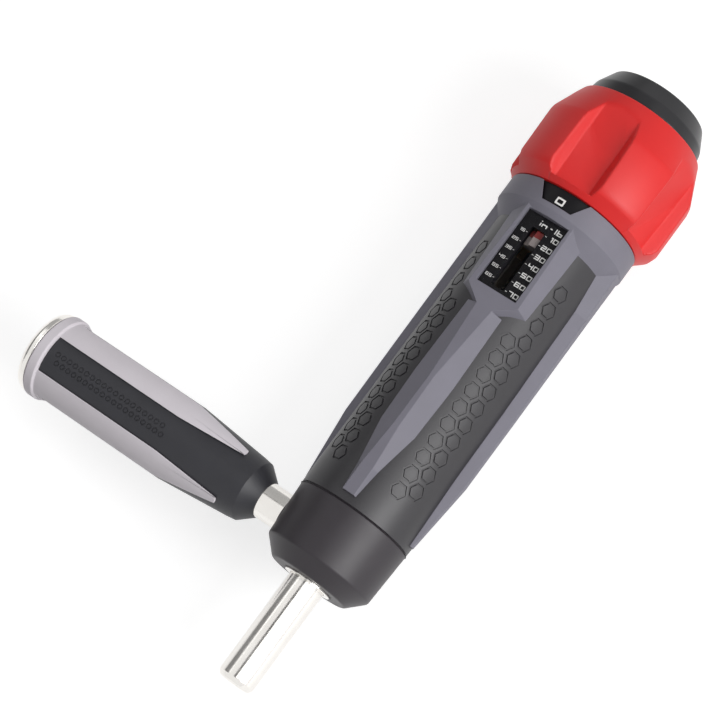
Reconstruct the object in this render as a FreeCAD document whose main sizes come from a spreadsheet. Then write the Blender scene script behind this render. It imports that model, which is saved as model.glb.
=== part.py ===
import FreeCAD, Part
import math
import os
import re
import Sketcher
from FreeCAD import Placement, Rotation, Vector

# Micrometer torque screwdriver with a screw-in side handle.
# The main axis is Y: the mouth of the bit socket is at the origin and the setting knob at the far
# end of +Y. The side handle leaves the nose collar along -X. The scale window faces +Z.

doc = FreeCAD.newDocument("torque_screwdriver")
sheet = doc.addObject("Spreadsheet::Sheet", "dims")

# Driving dimensions in millimetres. A name that ends in _at is a station along the piece's own
# axis, _rad a radius, _half a half width, _top a height above the axis.
DIMENSIONS = {
    # bit holder: the steel shank with its hexagon socket
    "shank_rad": 5.75,
    "shank_chamfer": 1.4,
    "mouth_rad": 4.8,
    "shoulder_at": 45.2,
    "journal_rad": 4.5,
    "holder_end_at": 72.8,
    "socket_flats": 6.5,
    "socket_depth": 13.0,
    "magnet_rad": 2.5,
    "magnet_long": 4.0,
    "ring_groove_at": 4.2,
    "ring_groove_wide": 1.1,
    "ring_groove_rad": 4.4,
    "ring_wire": 1.0,
    "ring_gap_deg": 40.0,
    # nose bush and nose collar
    "running_gap": 0.1,
    "bush_rad": 7.0,
    "bush_flange_rad": 7.6,
    "bush_proud": 0.5,
    "bush_end_at": 45.0,
    "collar_at": 35.2,
    "collar_face_rad": 12.7,
    "collar_chamfer_at": 40.1,
    "collar_chamfer_rad": 17.35,
    "collar_end_at": 57.4,
    "collar_end_rad": 18.2,
    "collar_wall_at": 54.2,
    # ball clutch
    "washer_thick": 1.2,
    "washer_rad": 11.5,
    "cam_at": 55.5,
    "cam_thick": 6.0,
    "cam_rad": 12.0,
    "pin_rad": 1.25,
    "pin_long": 22.0,
    "tooth_count": 12,
    "tooth_half": 1.5,
    "tooth_tall": 1.3,
    "tooth_play": 0.15,
    "tooth_root_rad": 6.6,
    "plate_gap": 0.15,
    "plate_thick": 4.5,
    "plate_rad": 12.4,
    "key_half": 2.0,
    "key_reach": 14.0,
    "key_play": 0.3,
    "key_travel": 0.6,
    "clutch_lift": 1.4,
    # barrel: the steel tube that holds the spring
    "barrel_bore_rad": 13.0,
    "barrel_rad": 14.5,
    "barrel_end_at": 164.0,
    "slot_half": 3.5,
    "slot_at": 127.1,
    "slot_end_at": 156.8,
    # main spring, adjusting nut, pointer and lead screw
    "spring_rad": 10.2,
    "spring_wire_wide": 2.6,
    "spring_wire_tall": 3.0,
    "spring_turns": 7.0,
    "nut_at": 150.4,
    "nut_long": 6.0,
    "nut_rad": 12.6,
    "screw_rad": 5.0,
    "screw_at": 127.6,
    "screw_flange_at": 157.2,
    "screw_flange_thick": 1.6,
    "screw_flange_rad": 8.0,
    "screw_flats": 7.0,
    "screw_end_at": 177.5,
    "drive_bore_rad": 3.0,
    "thrust_gap": 0.05,
    "rear_washer_thick": 1.2,
    "rear_washer_rad": 11.0,
    "bearing_thick": 4.0,
    "bearing_lip": 1.4,
    "pointer_half": 3.1,
    "pointer_tip_half": 1.3,
    "pointer_step_top": 15.4,
    "pointer_top": 17.4,
    "pointer_at": 148.2,
    "pointer_end_at": 153.2,
    # grip core and the panels between the ribs
    "core_rad": 18.3,
    "dial_floor_at": 160.9,
    # grip overmould: shoulder and rim
    "shoulder_foot_at": 153.9,
    "rim_at": 159.2,
    "rim_rad": 21.75,
    "rim_bore_rad": 20.85,
    "rim_end_at": 166.4,
    "notch_half_low": 4.9,
    "notch_half_high": 8.4,
    "notch_at": 160.5,
    # grip overmould: spines above and below (foot half width, crest half width, crest height)
    "rib_root": 15.0,
    "tip_at": 60.1,
    "tip_foot": 2.3,
    "tip_crest": 2.0,
    "tip_top": 19.4,
    "neck_at": 69.2,
    "neck_foot": 3.3,
    "neck_crest": 1.9,
    "neck_top": 19.8,
    "hip_at": 83.2,
    "hip_foot": 5.8,
    "hip_crest": 0.9,
    "hip_top": 20.5,
    "waist_at": 100.2,
    "waist_foot": 6.3,
    "waist_crest": 0.7,
    "waist_top": 20.8,
    "join_at": 125.3,
    "join_foot": 5.85,
    "join_crest": 2.6,
    "join_top": 19.72,
    "back_at": 160.0,
    "back_foot": 7.6,
    "back_crest": 3.6,
    "back_top": 21.0,
    # grip overmould: side ribs
    "side_tip_at": 59.7,
    "side_tip_foot": 1.1,
    "side_tip_crest": 0.9,
    "side_tip_top": 19.1,
    "side_hip_at": 82.2,
    "side_hip_foot": 2.6,
    "side_hip_crest": 1.2,
    "side_hip_top": 21.3,
    "side_waist_at": 106.2,
    "side_waist_foot": 2.7,
    "side_waist_crest": 1.2,
    "side_waist_top": 21.5,
    "side_flare_at": 142.2,
    "side_flare_foot": 4.0,
    "side_flare_crest": 1.7,
    "side_flare_top": 21.5,
    "side_back_at": 160.0,
    "side_back_foot": 7.2,
    "side_back_crest": 3.4,
    "side_back_top": 21.6,
    # window frame on the upper spine
    "face_top": 19.7,
    "face_low_half": 8.6,
    "face_low_at": 129.7,
    "face_high_half": 7.7,
    "face_high_at": 159.6,
    "foot_level": 14.5,
    "foot_start_half": 4.2,
    "foot_start_at": 123.3,
    "foot_low_half": 11.0,
    "foot_low_at": 129.3,
    "foot_high_half": 12.2,
    "lens_half": 6.8,
    "lens_at": 131.0,
    "lens_end_at": 157.3,
    "lens_ledge": 1.0,
    "lens_top": 19.5,
    "lens_thick": 1.2,
    "scale_thick": 0.4,
    "scale_slot_left": -3.0,
    "scale_slot_right": 1.4,
    "scale_slot_at": 132.4,
    "scale_slot_end_at": 153.2,
    # setting knob
    "knob_at": 166.7,
    "knob_base_rad": 21.6,
    "knob_flare_long": 4.0,
    "knob_flare_rad": 25.0,
    "knob_belly_long": 7.0,
    "knob_belly_rad": 26.0,
    "knob_crown_long": 21.4,
    "knob_crown_rad": 26.2,
    "knob_rim_long": 33.9,
    "knob_rim_rad": 20.2,
    "facet_apothem": 24.9,
    "facet_rim_apothem": 20.1,
    "facet_count": 10,
    "flute_count": 5,
    "flute_step": 1.8,
    "flute_half": 5.8,
    "flute_wall_slope": 0.56,
    "flute_floor_low": 21.2,
    "flute_floor_high": 22.9,
    "knob_wall": 3.0,
    "knob_web_at": 178.0,
    "knob_web_thick": 5.0,
    "hub_rad": 9.0,
    "recess_rad": 16.5,
    "knob_screw_rad": 2.0,
    "knob_screw_head_rad": 3.9,
    "knob_screw_head": 2.8,
    "knob_washer_rad": 5.5,
    "knob_washer_thick": 0.8,
    "dial_rad": 20.45,
    "dial_bore_rad": 15.4,
    "dial_at": 161.3,
    # lock cap
    "cap_at": 200.9,
    "cap_base_rad": 19.4,
    "cap_band_at": 204.6,
    "cap_band_rad": 18.8,
    "cap_end_at": 210.4,
    "cap_end_rad": 15.8,
    "cap_skirt_rad": 16.2,
    "cap_skirt_at": 190.0,
    "cap_skirt_wall": 2.0,
    # side handle, measured along its own axis from the main axis
    "handle_at": 47.7,
    "stud_rad": 4.0,
    "thread_gap": 0.05,
    "stud_at": 9.2,
    "rod_at": 16.5,
    "rod_rad": 5.7,
    "rod_end_at": 96.0,
    "grip_at": 24.75,
    "grip_cone_at": 29.3,
    "grip_cone_rad": 10.2,
    "grip_neck_at": 32.0,
    "grip_neck_rad": 10.6,
    "grip_full_at": 56.0,
    "grip_full_rad": 12.9,
    "grip_skin": 0.6,
    "finger_at": 35.0,
    "finger_half_at_tip": 7.4,
    "finger_bend_at": 57.0,
    "inset_half": 5.75,
    "inset_end_at": 102.3,
    "gap_half_at_tip": 6.3,
    "gap_half": 4.0,
    "gap_end_at": 101.0,
    "flange_at": 102.0,
    "flange_rad": 13.6,
    "flange_end_at": 105.7,
    "handle_roll": -8.0,
    "button_rad": 13.3,
    "button_edge_at": 108.6,
    "button_edge_rad": 12.5,
    "button_end_at": 109.8,
    "button_flat_rad": 8.0,
    "button_plug_rad": 6.0,
    "button_plug_at": 97.0,
}

for row, (alias, number) in enumerate(DIMENSIONS.items(), start=1):
    sheet.set("A%d" % row, alias)
    sheet.set("B%d" % row, repr(number))
    sheet.setAlias("B%d" % row, alias)
doc.recompute()


def terms(text):
    """The same expression with every dimension's name pointed at the sheet."""
    return re.sub(r"\b([a-z][a-z_]+)\b(?!\()", r"dims.\1", text)


def value(text):
    """The number that an expression in the sheet's names stands for."""
    return float(sheet.evalExpression(terms(text)))


def body(name):
    """An empty body whose label is the sub-part's name."""
    made = doc.addObject("PartDesign::Body", name)
    made.Label = name
    return made


def origin_part(owner, role):
    return next(item for item in owner.Origin.OriginFeatures if item.Role == role)


def sketch(owner, name, role, offset="0", turn_about_y=0.0):
    """A sketch on one origin plane, moved along the plane's normal and turned about the main axis."""
    made = owner.newObject("Sketcher::SketchObject", name)
    made.AttachmentSupport = [(origin_part(owner, role), "")]
    made.MapMode = "FlatFace"
    main_axis = {"XY_Plane": Vector(0, 1, 0), "YZ_Plane": Vector(1, 0, 0), "XZ_Plane": Vector(0, 0, -1)}[role]
    made.AttachmentOffset = Placement(Vector(0, 0, 0), Rotation(main_axis, turn_about_y))
    made.setExpression("AttachmentOffset.Base.z", terms(offset))
    return made


def outline(owner, points):
    """A closed outline through points, each corner tied to the sheet by two expressions."""
    first = len(owner.Geometry)
    corners = [Vector(value(across), value(along), 0) for across, along in points]
    count = len(corners)
    for index, corner in enumerate(corners):
        owner.addGeometry(Part.LineSegment(corner, corners[(index + 1) % count]), False)
    for index in range(count):
        follower = first + (index + 1) % count
        owner.addConstraint(Sketcher.Constraint("Coincident", first + index, 2, follower, 1))
    for index, (across, along) in enumerate(points):
        for kind, text in (("DistanceX", across), ("DistanceY", along)):
            made = owner.addConstraint(Sketcher.Constraint(kind, -1, 1, first + index, 1, value(text)))
            owner.setExpression("Constraints[%d]" % made, terms(text))
    return owner


def circle(owner, across, along, radius):
    """A circle whose centre and radius are tied to the sheet."""
    centre = Vector(value(across), value(along), 0)
    made = owner.addGeometry(Part.Circle(centre, Vector(0, 0, 1), value(radius)), False)
    for kind, text in (("DistanceX", across), ("DistanceY", along)):
        tie = owner.addConstraint(Sketcher.Constraint(kind, -1, 1, made, 3, value(text)))
        owner.setExpression("Constraints[%d]" % tie, terms(text))
    tie = owner.addConstraint(Sketcher.Constraint("Radius", made, value(radius)))
    owner.setExpression("Constraints[%d]" % tie, terms(radius))
    return owner


def mirrored(points):
    """A symmetric outline from its right-hand half."""
    return points + [("-(%s)" % across, along) for across, along in reversed(points)]


def turned(owner, name, points, cut=False):
    """A solid, or a groove, turned about the main axis from a (radius, station) outline."""
    profile = outline(sketch(owner, name + "_profile", "XY_Plane"), points)
    kind = "PartDesign::Groove" if cut else "PartDesign::Revolution"
    made = owner.newObject(kind, name)
    made.Profile = profile
    made.ReferenceAxis = (profile, ["V_Axis"])
    made.Angle = 360
    return made


def extruded(owner, name, profile, length, cut=False, towards_knob=None, midplane=False):
    """A pad or pocket of a sketch, either way along its normal or centred on it."""
    made = owner.newObject("PartDesign::Pocket" if cut else "PartDesign::Pad", name)
    made.Profile = profile
    made.setExpression("Length", terms(length))
    if midplane:
        made.Midplane = True
    if towards_knob is not None:
        made.Reversed = towards_knob != cut
    return made


def lofted(owner, name, sections, cut=False):
    """Flat facets ruled between the sections."""
    made = owner.newObject("PartDesign::SubtractiveLoft" if cut else "PartDesign::AdditiveLoft", name)
    made.Profile = sections[0]
    made.Sections = sections[1:]
    made.Ruled = True
    return made


def repeated(owner, name, feature, count):
    """The feature repeated round the main axis."""
    made = owner.newObject("PartDesign::PolarPattern", name)
    made.Originals = [feature]
    made.Axis = (origin_part(owner, "Y_Axis"), [""])
    made.Angle = 360
    made.setExpression("Occurrences", terms(count))
    owner.Tip = made
    return made


def hexagon(across_flats, along_flats):
    """A hexagon's corners round the sketch's origin, with two flats square to its first direction."""
    corner = "%s / sqrt(3)" % across_flats
    half_corner = "%s / sqrt(3) / 2" % across_flats
    half_flat = "%s / 2" % across_flats
    corners = [(half_flat, half_corner), ("0", corner), ("-(%s)" % half_flat, half_corner)]
    corners += [("-(%s)" % half_flat, "-(%s)" % half_corner), ("0", "-(%s)" % corner)]
    corners += [(half_flat, "-(%s)" % half_corner)]
    return corners if along_flats else [(along, across) for across, along in corners]


def ring(name, points):
    """A plain turned piece."""
    made = body(name)
    turned(made, name + "_turn", points)
    return made


def tube_outline(inner, outer, start, end):
    return [(inner, start), (outer, start), (outer, end), (inner, end)]


# --- Nose: bit holder, magnet, snap ring, bush and collar -----------------------------------------

def make_bit_holder():
    holder = body("bit_holder")
    turned(holder, "holder_turn", [
        ("0", "0"), ("mouth_rad", "0"), ("shank_rad", "shank_chamfer"), ("shank_rad", "shoulder_at"),
        ("journal_rad", "shoulder_at"), ("journal_rad", "holder_end_at - 0.8"),
        ("journal_rad - 0.8", "holder_end_at"), ("0", "holder_end_at")])
    socket = outline(sketch(holder, "socket_outline", "XZ_Plane"), hexagon("socket_flats", True))
    extruded(holder, "socket", socket, "socket_depth", cut=True, towards_knob=True)
    seat = circle(sketch(holder, "magnet_seat_outline", "XZ_Plane"), "0", "0", "magnet_rad")
    extruded(holder, "magnet_seat", seat, "socket_depth + magnet_long", cut=True, towards_knob=True)
    turned(holder, "socket_lead_in", [("0", "0"), ("socket_flats / sqrt(3) + 0.4", "0"), ("0", "3.4")], cut=True)
    turned(holder, "snap_groove", tube_outline(
        "magnet_rad", "ring_groove_rad", "ring_groove_at", "ring_groove_at + ring_groove_wide"), cut=True)
    pin_hole = circle(sketch(holder, "pin_hole_outline", "YZ_Plane"), "cam_at + cam_thick / 2", "0", "pin_rad")
    extruded(holder, "pin_hole", pin_hole, "pin_long", cut=True, midplane=True)


def make_magnet():
    ring("bit_magnet", [("0", "socket_depth"), ("magnet_rad", "socket_depth"),
                        ("magnet_rad", "socket_depth + magnet_long"), ("0", "socket_depth + magnet_long")])


def make_snap_ring():
    # an open ring of square wire that grips the notch of a bit
    snap = body("bit_snap_ring")
    made = turned(snap, "snap_turn", tube_outline(
        "ring_groove_rad - 0.1 - ring_wire", "ring_groove_rad - 0.1",
        "ring_groove_at + 0.05", "ring_groove_at + 0.05 + ring_wire"))
    made.setExpression("Angle", terms("360 - ring_gap_deg"))


def make_bush():
    made = body("nose_bush")
    turned(made, "bush_turn", [
        ("shank_rad + running_gap", "collar_at - bush_proud"), ("bush_flange_rad", "collar_at - bush_proud"),
        ("bush_flange_rad", "collar_at + 1"), ("bush_rad", "collar_at + 1"), ("bush_rad", "bush_end_at"),
        ("shank_rad + running_gap", "bush_end_at")])
    return made


def make_collar():
    collar = body("nose_collar")
    turned(collar, "collar_turn", [
        ("bush_rad", "collar_at + 1"), ("bush_flange_rad", "collar_at + 1"), ("bush_flange_rad", "collar_at + 0.4"),
        ("bush_flange_rad + 0.5", "collar_at"), ("collar_face_rad - 0.5", "collar_at"),
        ("collar_face_rad + 0.3", "collar_at + 0.4"), ("collar_chamfer_rad - 0.3", "collar_chamfer_at - 0.4"),
        ("collar_chamfer_rad + 0.1", "collar_chamfer_at + 0.6"), ("collar_end_rad", "collar_end_at"),
        ("barrel_rad", "collar_end_at"), ("barrel_rad", "collar_wall_at"),
        ("journal_rad + running_gap", "collar_wall_at"), ("journal_rad + running_gap", "shoulder_at + running_gap"),
        ("bush_rad", "shoulder_at + running_gap")])
    # the side handle screws into a tapped hole and seats on a spot face
    tapped = circle(sketch(collar, "tapped_outline", "YZ_Plane", "-stud_at"), "handle_at", "0", "stud_rad")
    extruded(collar, "tapped_hole", tapped, "collar_end_rad", cut=True).Reversed = False
    spot = circle(sketch(collar, "spot_outline", "YZ_Plane", "-rod_at"), "handle_at", "0", "rod_rad + 0.15")
    extruded(collar, "spot_face", spot, "4", cut=True).Reversed = False


# --- Ball clutch ------------------------------------------------------------------------------------

def make_thrust_washer():
    ring("thrust_washer", tube_outline(
        "journal_rad + 0.3", "washer_rad", "collar_wall_at", "collar_wall_at + washer_thick"))


def radial_tooth(owner, name, root, play, cut):
    """A straight V tooth, or its groove, along the radius and repeated round the axis."""
    half = "(tooth_half + %s)" % play
    tip = "%s - tooth_tall - %s" % (root, play)
    profile = outline(sketch(owner, name + "_outline", "YZ_Plane", "tooth_root_rad - 3 * %s" % play), [
        (root, "-" + half), (tip, "0"), (root, half)])
    made = extruded(owner, name, profile, "cam_rad + 2 - tooth_root_rad", cut=cut)
    made.Reversed = cut
    repeated(owner, name + "_round", made, "tooth_count")
    return made


def make_cam():
    cam = body("clutch_cam")
    turned(cam, "cam_turn", tube_outline("journal_rad", "cam_rad", "cam_at", "cam_at + cam_thick"))
    hole = circle(sketch(cam, "cam_pin_outline", "YZ_Plane"), "cam_at + cam_thick / 2", "0", "pin_rad")
    extruded(cam, "cam_pin_hole", hole, "3 * cam_rad", cut=True, midplane=True)
    radial_tooth(cam, "tooth_groove", "cam_at + cam_thick", "tooth_play", True)


def make_cam_pin():
    pin = doc.addObject("Part::Cylinder", "cam_pin")
    pin.setExpression("Radius", terms("pin_rad"))
    pin.setExpression("Height", terms("pin_long"))
    pin.Placement = Placement(Vector(0, 0, 0), Rotation(Vector(0, 1, 0), 90))
    pin.setExpression("Placement.Base.x", terms("-pin_long / 2"))
    pin.setExpression("Placement.Base.y", terms("cam_at + cam_thick / 2"))


def make_clutch_plate():
    plate = body("clutch_plate")
    start = "cam_at + cam_thick + plate_gap"
    turned(plate, "plate_turn", tube_outline(
        "journal_rad + running_gap", "plate_rad", start, start + " + plate_thick"))
    keys = sketch(plate, "key_outline", "XZ_Plane", "-(%s)" % start)
    for side in ("", "-"):
        outline(keys, [(side + "(plate_rad - 1)", "-key_half"), (side + "key_reach", "-key_half"),
                       (side + "key_reach", "key_half"), (side + "(plate_rad - 1)", "key_half")])
    extruded(plate, "keys", keys, "plate_thick", towards_knob=True)
    radial_tooth(plate, "tooth", start, "0", False)
    turned(plate, "tooth_ends", tube_outline("cam_rad", "cam_rad + 4", "cam_at", start), cut=True)


# --- Barrel, spring, nut, pointer and lead screw ----------------------------------------------------

def make_barrel():
    barrel = body("barrel")
    turned(barrel, "barrel_turn", tube_outline("barrel_bore_rad", "barrel_rad", "collar_wall_at", "barrel_end_at"))
    slot = outline(sketch(barrel, "slot_outline", "XY_Plane"), mirrored(
        [("slot_half", "slot_at"), ("slot_half", "slot_end_at")]))
    extruded(barrel, "slot", slot, "barrel_rad + 1", cut=True).Reversed = True
    start = "cam_at + cam_thick + plate_gap - key_play"
    end = "cam_at + cam_thick + plate_gap + plate_thick + clutch_lift + key_travel"
    keyway = outline(sketch(barrel, "keyway_outline", "YZ_Plane"), [
        (start, "-(key_half + key_play)"), (end, "-(key_half + key_play)"), (end, "key_half + key_play"),
        (start, "key_half + key_play")])
    extruded(barrel, "keyways", keyway, "3 * barrel_rad", cut=True, midplane=True)


def make_spring():
    # a die spring of rectangular wire, from the clutch plate to the adjusting nut
    spring = body("main_spring")
    start = "cam_at + cam_thick + plate_gap + plate_thick"
    wire = outline(sketch(spring, "wire_section", "XY_Plane"), tube_outline(
        "spring_rad - spring_wire_wide / 2", "spring_rad + spring_wire_wide / 2", start,
        start + " + spring_wire_tall"))
    coil = spring.newObject("PartDesign::AdditiveHelix", "coil")
    coil.Profile = wire
    coil.ReferenceAxis = (wire, ["V_Axis"])
    coil.Mode = 1
    reach = "(nut_at - (%s) - spring_wire_tall)" % start
    coil.setExpression("Height", terms(reach))
    coil.setExpression("Pitch", terms(reach + " / spring_turns"))


def make_nut():
    nut = body("adjusting_nut")
    turned(nut, "nut_turn", tube_outline("screw_rad + running_gap", "nut_rad", "nut_at", "nut_at + nut_long"))


def make_pointer():
    # a saddle on the nut whose narrow tip shows under the scale's slot
    pointer = body("pointer")
    tip = "pointer_tip_half"
    section = outline(sketch(pointer, "pointer_outline", "XZ_Plane", "-pointer_at"), mirrored([
        ("pointer_half", "nut_rad - 1.2"), ("pointer_half", "pointer_step_top"),
        (tip, "pointer_step_top"), (tip, "pointer_top")]))
    extruded(pointer, "pointer_block", section, "pointer_end_at - pointer_at", towards_knob=True)
    turned(pointer, "saddle", tube_outline("0.01", "nut_rad", "pointer_at - 1", "pointer_end_at + 1"), cut=True)


def make_lead_screw():
    screw = body("lead_screw")
    turned(screw, "screw_turn", [
        ("0", "screw_at"), ("screw_rad - 1", "screw_at"), ("screw_rad", "screw_at + 1"),
        ("screw_rad", "screw_flange_at"), ("screw_flange_rad", "screw_flange_at"),
        ("screw_flange_rad", "screw_flange_at + screw_flange_thick"),
        ("screw_rad", "screw_flange_at + screw_flange_thick"), ("screw_rad", "knob_at"), ("0", "knob_at")])
    drive = outline(sketch(screw, "drive_outline", "XZ_Plane", "-knob_at"), hexagon("screw_flats", True))
    extruded(screw, "drive", drive, "screw_end_at - knob_at", towards_knob=True)
    tapped = circle(sketch(screw, "screw_hole_outline", "XZ_Plane", "-screw_end_at"), "0", "0", "knob_screw_rad")
    extruded(screw, "screw_hole", tapped, "14", cut=True, towards_knob=False)


def make_rear_bearing():
    washer_at = "screw_flange_at + screw_flange_thick + thrust_gap"
    plate_at = washer_at + " + rear_washer_thick"
    ring("rear_washer", tube_outline("screw_rad + running_gap", "rear_washer_rad", washer_at, plate_at))
    ring("bearing_plate", [
        ("screw_rad + running_gap", plate_at), ("barrel_bore_rad", plate_at), ("barrel_bore_rad", "barrel_end_at"),
        ("barrel_rad", "barrel_end_at"), ("barrel_rad", "barrel_end_at + bearing_lip"),
        ("screw_rad + running_gap", "barrel_end_at + bearing_lip")])


# --- Two-shot grip: black core, grey overmould, scale and window -------------------------------------

def make_core():
    core = body("grip_core")
    turned(core, "core_turn", [
        ("barrel_rad", "collar_end_at"), ("collar_end_rad", "collar_end_at"), ("core_rad", "tip_at"),
        ("core_rad", "dial_floor_at"), ("barrel_rad", "dial_floor_at")])
    slot = outline(sketch(core, "core_slot_outline", "XY_Plane"), mirrored(
        [("slot_half", "slot_at"), ("slot_half", "slot_end_at")]))
    extruded(core, "core_slot", slot, "core_rad + 1", cut=True).Reversed = True
    level = "lens_top - lens_thick - scale_thick"
    flat = outline(sketch(core, "core_flat_outline", "XY_Plane", level), mirrored(
        [("lens_half", "lens_at"), ("lens_half", "lens_end_at")]))
    extruded(core, "core_flat", flat, "4", cut=True).Reversed = True


def rib(owner, name, stations, turn):
    """A faceted rib ruled through sections that each have a wide foot and a narrow crest."""
    sections = []
    for index, station in enumerate(stations):
        foot, crest, top = station + "_foot", station + "_crest", station + "_top"
        profile = sketch(owner, "%s_section_%d" % (name, index), "XZ_Plane", "-%s_at" % station, turn)
        root = "sqrt((core_rad + 0.1) ^ 2 - %s ^ 2)" % foot
        sections.append(outline(profile, mirrored([(foot, "rib_root"), (foot, root), (crest, top)])))
    return lofted(owner, name, sections)


def make_overmould():
    grip = body("grip_overmould")
    turned(grip, "shoulder_and_rim", [
        ("core_rad - 1", "shoulder_foot_at"), ("core_rad", "shoulder_foot_at"), ("rim_rad", "rim_at"),
        ("rim_rad", "rim_end_at"), ("rim_bore_rad", "rim_end_at"), ("rim_bore_rad", "dial_floor_at"),
        ("core_rad - 1", "dial_floor_at")])
    rib(grip, "upper_spine", ["tip", "neck", "hip", "waist", "join"], 0)
    rib(grip, "lower_spine", ["tip", "neck", "hip", "waist", "back"], 180)
    for name, turn in (("left_rib", 90), ("right_rib", -90)):
        rib(grip, name, ["side_tip", "side_hip", "side_waist", "side_flare", "side_back"], turn)
    foot = outline(sketch(grip, "frame_foot", "XY_Plane", "foot_level"), mirrored([
        ("foot_start_half", "foot_start_at"), ("foot_low_half", "foot_low_at"), ("foot_high_half", "face_high_at")]))
    face = outline(sketch(grip, "frame_face", "XY_Plane", "face_top"), mirrored([
        ("join_crest", "join_at"), ("face_low_half", "face_low_at"), ("face_high_half", "face_high_at")]))
    lofted(grip, "window_frame", [foot, face])
    # the inside follows the core, and the dial's chamber is open towards the knob
    turned(grip, "core_seat", [
        ("0", "collar_at"), ("collar_end_rad", "collar_at"), ("collar_end_rad", "collar_end_at"),
        ("core_rad", "tip_at"), ("core_rad", "dial_floor_at"), ("rim_bore_rad", "dial_floor_at"),
        ("rim_bore_rad", "knob_at"), ("0", "knob_at")], cut=True)
    level = "lens_top - lens_thick - scale_thick"
    window = outline(sketch(grip, "window_outline", "XY_Plane", level), mirrored(
        [("lens_half", "lens_at"), ("lens_half", "lens_end_at")]))
    extruded(grip, "window", window, "6", cut=True).Reversed = True
    aperture = outline(sketch(grip, "aperture_outline", "XY_Plane"), mirrored(
        [("lens_half - lens_ledge", "lens_at + lens_ledge"), ("lens_half - lens_ledge", "lens_end_at - lens_ledge")]))
    extruded(grip, "aperture", aperture, "rim_rad + 2", cut=True).Reversed = True
    notch = outline(sketch(grip, "notch_outline", "XY_Plane", "core_rad - 2"), mirrored([
        ("notch_half_low", "notch_at + 0.4"), ("notch_half_high", "rim_end_at + 0.5")]))
    extruded(grip, "dial_notch", notch, "rim_rad", cut=True).Reversed = True


def make_scale():
    # a thin printed plate with a slot over the pointer, under a clear lens
    level = "lens_top - lens_thick - scale_thick"
    plate = body("scale_plate")
    sheet_outline = outline(sketch(plate, "scale_outline", "XY_Plane", level), mirrored(
        [("lens_half", "lens_at"), ("lens_half", "lens_end_at")]))
    extruded(plate, "scale_sheet", sheet_outline, "scale_thick")
    slot = outline(sketch(plate, "scale_slot_outline", "XY_Plane", level), [
        ("scale_slot_left", "scale_slot_at"), ("scale_slot_right", "scale_slot_at"),
        ("scale_slot_right", "scale_slot_end_at"), ("scale_slot_left", "scale_slot_end_at")])
    extruded(plate, "scale_slot", slot, "scale_thick + 1", cut=True).Reversed = True
    lens = body("scale_window")
    pane = outline(sketch(lens, "lens_outline", "XY_Plane", "lens_top - lens_thick"), mirrored(
        [("lens_half", "lens_at"), ("lens_half", "lens_end_at")]))
    extruded(lens, "pane", pane, "lens_thick")


# --- Setting knob, dial and lock cap -----------------------------------------------------------------

def make_knob():
    knob = body("knob")
    web_end = "knob_web_at + knob_web_thick"
    turned(knob, "knob_turn", [
        ("drive_bore_rad", "knob_at"), ("hub_rad", "knob_at"), ("hub_rad", "knob_web_at"),
        ("recess_rad", "knob_web_at"), ("recess_rad", "knob_at"), ("knob_base_rad", "knob_at"),
        ("knob_flare_rad", "knob_at + knob_flare_long"), ("knob_belly_rad", "knob_at + knob_belly_long"),
        ("knob_crown_rad", "knob_at + knob_crown_long"), ("knob_rim_rad", "knob_at + knob_rim_long"),
        ("recess_rad + 0.3", "knob_at + knob_rim_long"), ("recess_rad + 0.3", web_end),
        ("knob_screw_rad + 0.1", web_end), ("knob_screw_rad + 0.1", "knob_web_at"),
        ("drive_bore_rad", "knob_web_at")])
    # ten flat facets, each a tall face and a slope up to the rim
    side = outline(sketch(knob, "facet_outline", "YZ_Plane", "0", 18.0), [
        ("knob_at - 1", "facet_apothem"), ("knob_at + knob_crown_long", "facet_apothem"),
        ("knob_at + knob_rim_long", "facet_rim_apothem"), ("knob_at + knob_rim_long + 1", "facet_rim_apothem"),
        ("knob_at + knob_rim_long + 1", "2 * knob_crown_rad"), ("knob_at - 1", "2 * knob_crown_rad")])
    facet = extruded(knob, "facet", side, "2 * knob_crown_rad", cut=True, midplane=True)
    repeated(knob, "facets", facet, "facet_count")
    # five straight flutes with sloping walls; the floor rises slowly towards the rim
    sections = []
    stations = (("low", "knob_at + flute_step"), ("high", "knob_at + knob_rim_long + 1"))
    for name, station in stations:
        floor = "flute_floor_" + name
        rise = "2 * knob_crown_rad - " + floor
        profile = sketch(knob, "flute_section_" + name, "XZ_Plane", "-(%s)" % station)
        sections.append(outline(profile, mirrored([
            ("flute_half", floor), ("flute_half + (%s) / flute_wall_slope" % rise, "2 * knob_crown_rad")])))
    flute = lofted(knob, "flute", sections, cut=True)
    repeated(knob, "flutes", flute, "flute_count")
    drive = outline(sketch(knob, "drive_seat_outline", "XZ_Plane", "-knob_at"), hexagon("screw_flats", True))
    extruded(knob, "drive_seat", drive, "knob_web_at - knob_at", cut=True, towards_knob=True)


def make_dial():
    ring("dial_ring", tube_outline("dial_bore_rad", "dial_rad", "dial_at", "knob_at"))


def make_knob_screw():
    web_end = "knob_web_at + knob_web_thick"
    ring("knob_washer", tube_outline("knob_screw_rad + 0.1", "knob_washer_rad", web_end, web_end + " + knob_washer_thick"))
    seat = web_end + " + knob_washer_thick"
    screw = ring("knob_screw", [
        ("0", "screw_end_at - 10"), ("knob_screw_rad", "screw_end_at - 10"), ("knob_screw_rad", seat),
        ("knob_screw_head_rad", seat), ("knob_screw_head_rad", seat + " + knob_screw_head"),
        ("0", seat + " + knob_screw_head")])
    key = outline(sketch(screw, "key_socket_outline", "XZ_Plane", "-(%s + knob_screw_head)" % seat),
                  hexagon("knob_screw_rad * 1.5", True))
    extruded(screw, "key_socket", key, "1.8", cut=True, towards_knob=False)


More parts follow.
